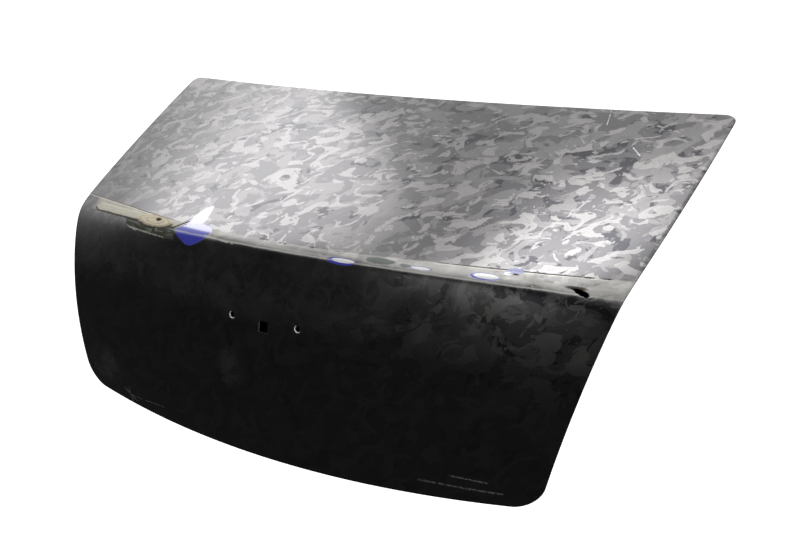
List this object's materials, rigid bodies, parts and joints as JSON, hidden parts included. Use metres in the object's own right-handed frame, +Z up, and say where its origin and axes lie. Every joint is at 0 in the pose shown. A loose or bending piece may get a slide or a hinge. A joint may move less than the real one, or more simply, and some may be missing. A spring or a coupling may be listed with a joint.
{
  "type": "car trunk lid",
  "caption": "Car trunk lid: pressed steel outer skin with creased deck and rear face, hemmed round a windowed inner panel with hinge and latch seats, in torn camouflage film.",
  "frame": {"origin": "centre of the four hinge bolts, on the underside of the hinge seats, which is level", "axes": "+Z up and +Y forward on the car, +X to the right seen from behind; the deck rises 10 degrees towards the front"},
  "size_m": [1.3234, 0.7198, 0.4814],
  "materials": {
    "skin_film": "satin camouflage film over paint",
    "panel_paint": "body colour, thin satin coat",
    "bare_steel": "galvanised",
    "sealer": "matte bead",
    "mastic": "matte",
    "black_rubber": "matte"
  },
  "bodies": {
    "root": {"outer_skin": "skin_film", "inner_panel": "panel_paint", "hem_sealer": "sealer", "deck_mastic": "mastic", "rear_mastic": "mastic", "hinge_reinforcement_left": "bare_steel", "hinge_nuts_left": "bare_steel", "bump_stop_left": "black_rubber", "hinge_reinforcement_right": "bare_steel", "hinge_nuts_right": "bare_steel", "bump_stop_right": "black_rubber", "latch_reinforcement": "bare_steel", "latch_nuts": "bare_steel"}
  },
  "joints": []
}
